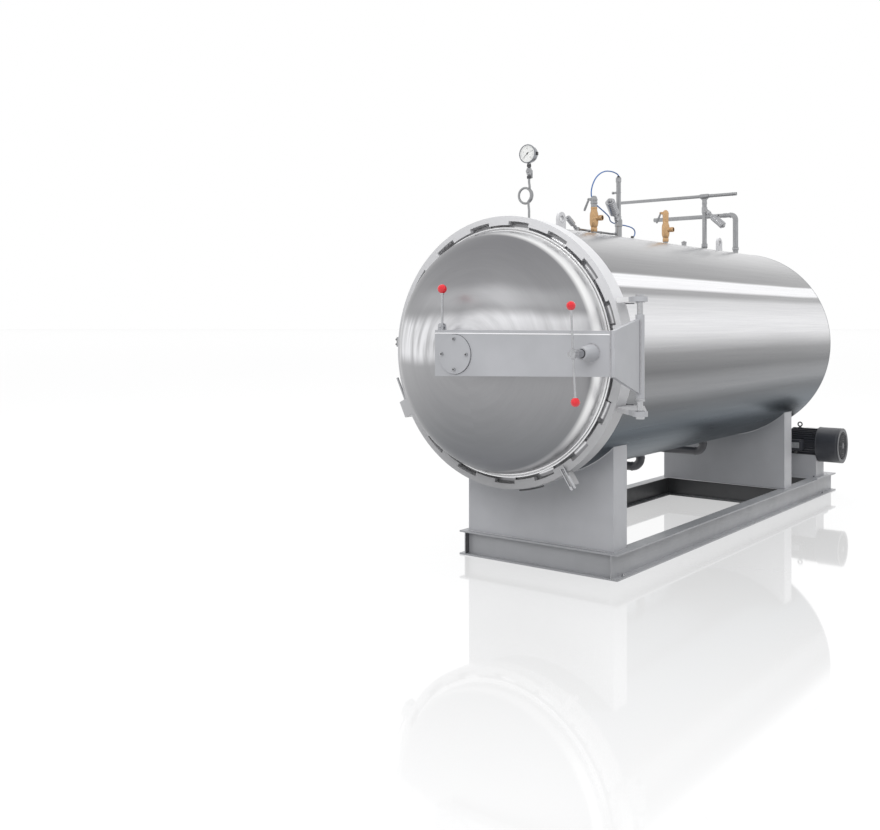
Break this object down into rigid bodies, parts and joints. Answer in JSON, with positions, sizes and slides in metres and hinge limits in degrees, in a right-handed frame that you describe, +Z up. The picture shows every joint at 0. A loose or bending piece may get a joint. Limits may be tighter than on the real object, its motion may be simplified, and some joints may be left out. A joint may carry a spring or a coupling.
{
  "type": "retort sterilizer",
  "caption": "Horizontal retort pressure vessel on a beam frame, with a quick-opening hinged door, a turning locking ring, safety valves, pipework and a circulation pump.",
  "frame": {"origin": "on the floor, in the vessel's mid plane, under the web of the front cross beam", "axes": "+X to the right seen from the door, +Y along the vessel from the door to the rear, +Z up"},
  "size_m": [1.698, 4.5938, 2.337],
  "materials": {
    "beam_paint": "satin light grey paint",
    "saddle_paint": "satin grey paint",
    "vessel_steel": "plain plate",
    "jacket_steel": "fine rolled stainless sheet",
    "ring_paint": "light grey paint",
    "rim_steel": "turned",
    "dish_steel": "brushed in arcs",
    "dark_paint": "dark grey paint",
    "bright_steel": "polished",
    "gasket_rubber": "smooth",
    "red_knob": "glossy",
    "pipe_steel": "pickled stainless",
    "valve_steel": "satin",
    "valve_brass": "cast and machined",
    "gauge_case": "polished",
    "tube_blue": "smooth",
    "black_plastic": "satin",
    "drain_paint": "dark grey paint",
    "pump_paint": "dark grey paint",
    "motor_paint": "charcoal enamel"
  },
  "bodies": {
    "root": {"side_beams": "beam_paint", "cross_beams": "beam_paint", "saddles": "saddle_paint", "vessel_shell": "vessel_steel", "rear_head": "vessel_steel", "body_flange": "ring_paint", "door_gasket": "gasket_rubber", "insulation_jacket": "jacket_steel", "rear_jacket_cap": "jacket_steel", "hinge_lugs": "ring_paint", "hinge_pin": "bright_steel", "lifting_lugs": "ring_paint", "gauge_siphon": "pipe_steel", "pressure_gauge": "gauge_case", "front_relief_valve": "valve_brass", "rear_relief_valve": "valve_brass", "vent_pipe": "pipe_steel", "vent_valve": "valve_steel", "purge_line": "pipe_steel", "top_nozzle": "pipe_steel", "steam_riser": "pipe_steel", "steam_valve": "valve_steel", "spray_riser": "pipe_steel", "air_tube": "tube_blue", "interlock_valve": "black_plastic", "drain_pipes": "drain_paint", "pump_bed": "saddle_paint", "pump_casing": "pump_paint", "pump_motor": "motor_paint"},
    "ring": {"locking_ring": "ring_paint", "ring_handle_block": "ring_paint", "ring_handle": "bright_steel", "ring_stop": "ring_paint"},
    "door": {"door_rim": "rim_steel", "door_dish": "dish_steel", "door_pivot": "dark_paint", "bearing_cap": "ring_paint", "door_arm": "ring_paint", "hinge_leaf": "ring_paint"},
    "screw": {"clamp_screw": "bright_steel", "clamp_knobs": "red_knob"},
    "latch": {"latch_lever": "bright_steel", "latch_knob": "red_knob"},
    "front_lever": {"front_relief_lever": "bright_steel"},
    "rear_lever": {"rear_relief_lever": "bright_steel"}
  },
  "joints": [
    {"name": "ring_turn", "type": "hinge", "parent": "root", "child": "ring", "pos_m": [0, -0.304, 1.2], "axis": [0, 1, 0], "range_deg": [0, 10.5]},
    {"name": "door_swing", "type": "hinge", "parent": "root", "child": "door", "pos_m": [0.88, -0.498, 1.2], "axis": [0, 0, 1], "range_deg": [0, 115]},
    {"name": "screw_turn", "type": "hinge", "parent": "door", "child": "screw", "pos_m": [0.773, -0.92276, 1.22], "axis": [0, 1, 0], "continuous": true},
    {"name": "latch_swing", "type": "hinge", "parent": "door", "child": "latch", "pos_m": [-0.113, -0.72276, 1.3395], "axis": [0, 1, 0], "range_deg": [-35, 35]},
    {"name": "front_relief_lift", "type": "hinge", "parent": "root", "child": "front_lever", "pos_m": [-0.033, 0.629, 2.106], "axis": [0, 1, 0], "range_deg": [0, 25]},
    {"name": "rear_relief_lift", "type": "hinge", "parent": "root", "child": "rear_lever", "pos_m": [-0.033, 1.61218, 2.106], "axis": [0, 1, 0], "range_deg": [0, 25]}
  ]
}
